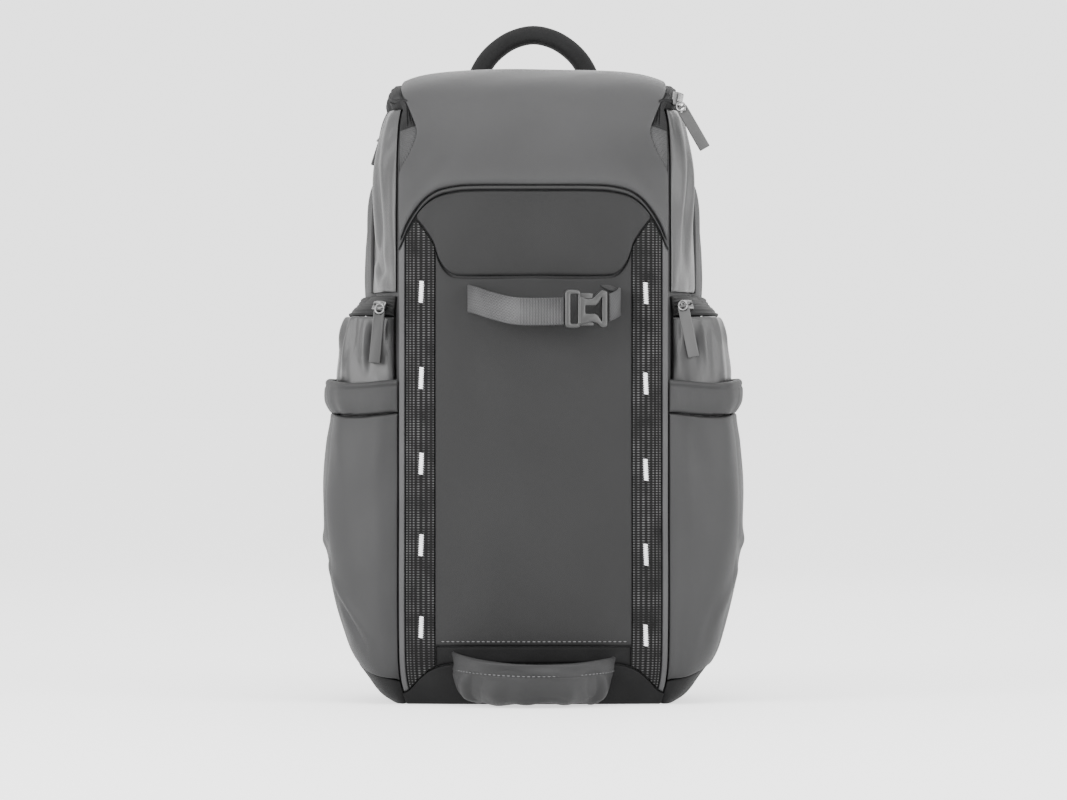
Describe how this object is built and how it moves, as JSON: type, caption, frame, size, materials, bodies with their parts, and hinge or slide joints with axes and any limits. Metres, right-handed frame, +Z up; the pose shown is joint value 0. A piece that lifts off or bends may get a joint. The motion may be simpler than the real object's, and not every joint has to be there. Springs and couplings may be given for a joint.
{
  "type": "camera backpack",
  "caption": "Upright camera backpack with a zipped lid, ribbed attachment bands, side pockets, a load strap with buckle and a fold-out foot cup.",
  "frame": {"origin": "centre of the flat base, on the surface that the bag stands on", "axes": "+Z up, the front faces -Y, the wearer's back is towards +Y, +X to the right seen from the front"},
  "size_m": [0.3118, 0.2997, 0.5095],
  "materials": {
    "body_cloth": "dark woven polyester over foam",
    "base_cloth": "hard-wearing coated dark cloth",
    "lid_cloth": "smooth coated mid grey cloth",
    "panel_cloth": "smooth woven grey cloth",
    "pocket_cloth": "smooth woven grey nylon",
    "side_nylon": "light glossy ripstop nylon",
    "cuff_cloth": "stretch grey cloth",
    "border_cloth": "smooth grey border tape",
    "ribbed_cloth": "dark ribbed zip gusset",
    "band_webbing": "dark ribbed polyester webbing",
    "strap_webbing": "light grey polyester webbing",
    "handle_cloth": "dark padded woven cloth",
    "pad_mesh": "dark spacer mesh over foam",
    "piping_trim": "dark coated piping cord",
    "buckle_plastic": "mid grey moulded nylon",
    "adjuster_plastic": "dark moulded nylon",
    "pull_grey": "mid grey rubbery zip pull",
    "pull_dark": "dark rubbery zip pull",
    "zip_metal": "bright metal slider"
  },
  "bodies": {
    "root": {"main_shell": "body_cloth", "base_panel": "base_cloth", "lid": "lid_cloth", "lid_piping": "piping_trim", "dome_panel": "panel_cloth", "middle_panel": "panel_cloth", "lower_strip": "base_cloth", "foot_cup": "panel_cloth", "carry_handle": "handle_cloth", "back_pad": "pad_mesh", "load_strap": "strap_webbing", "strap_end": "strap_webbing", "buckle_socket": "buckle_plastic", "buckle_prongs": "buckle_plastic", "top_zip_slider": "zip_metal", "left_zip_slider": "zip_metal", "right_zip_slider": "zip_metal", "rear_zip_slider": "zip_metal", "top_zip_pull": "pull_grey", "right_zip_pull": "pull_grey", "left_zip_pull": "pull_dark", "rear_zip_pull": "pull_dark", "band_left": "band_webbing", "border_left": "border_cloth", "gusset_left": "ribbed_cloth", "side_panel_left": "side_nylon", "side_piping_left": "piping_trim", "side_pocket_left": "side_nylon", "pocket_zip_left": "ribbed_cloth", "cuff_left": "cuff_cloth", "slip_pocket_left": "pocket_cloth", "corner_left": "base_cloth", "shoulder_strap_left": "pad_mesh", "strap_webbing_left": "band_webbing", "adjuster_left": "adjuster_plastic", "band_right": "band_webbing", "border_right": "border_cloth", "gusset_right": "ribbed_cloth", "side_panel_right": "side_nylon", "side_piping_right": "piping_trim", "side_pocket_right": "side_nylon", "pocket_zip_right": "ribbed_cloth", "cuff_right": "cuff_cloth", "slip_pocket_right": "pocket_cloth", "corner_right": "base_cloth", "shoulder_strap_right": "pad_mesh", "strap_webbing_right": "band_webbing", "adjuster_right": "adjuster_plastic"}
  },
  "joints": []
}
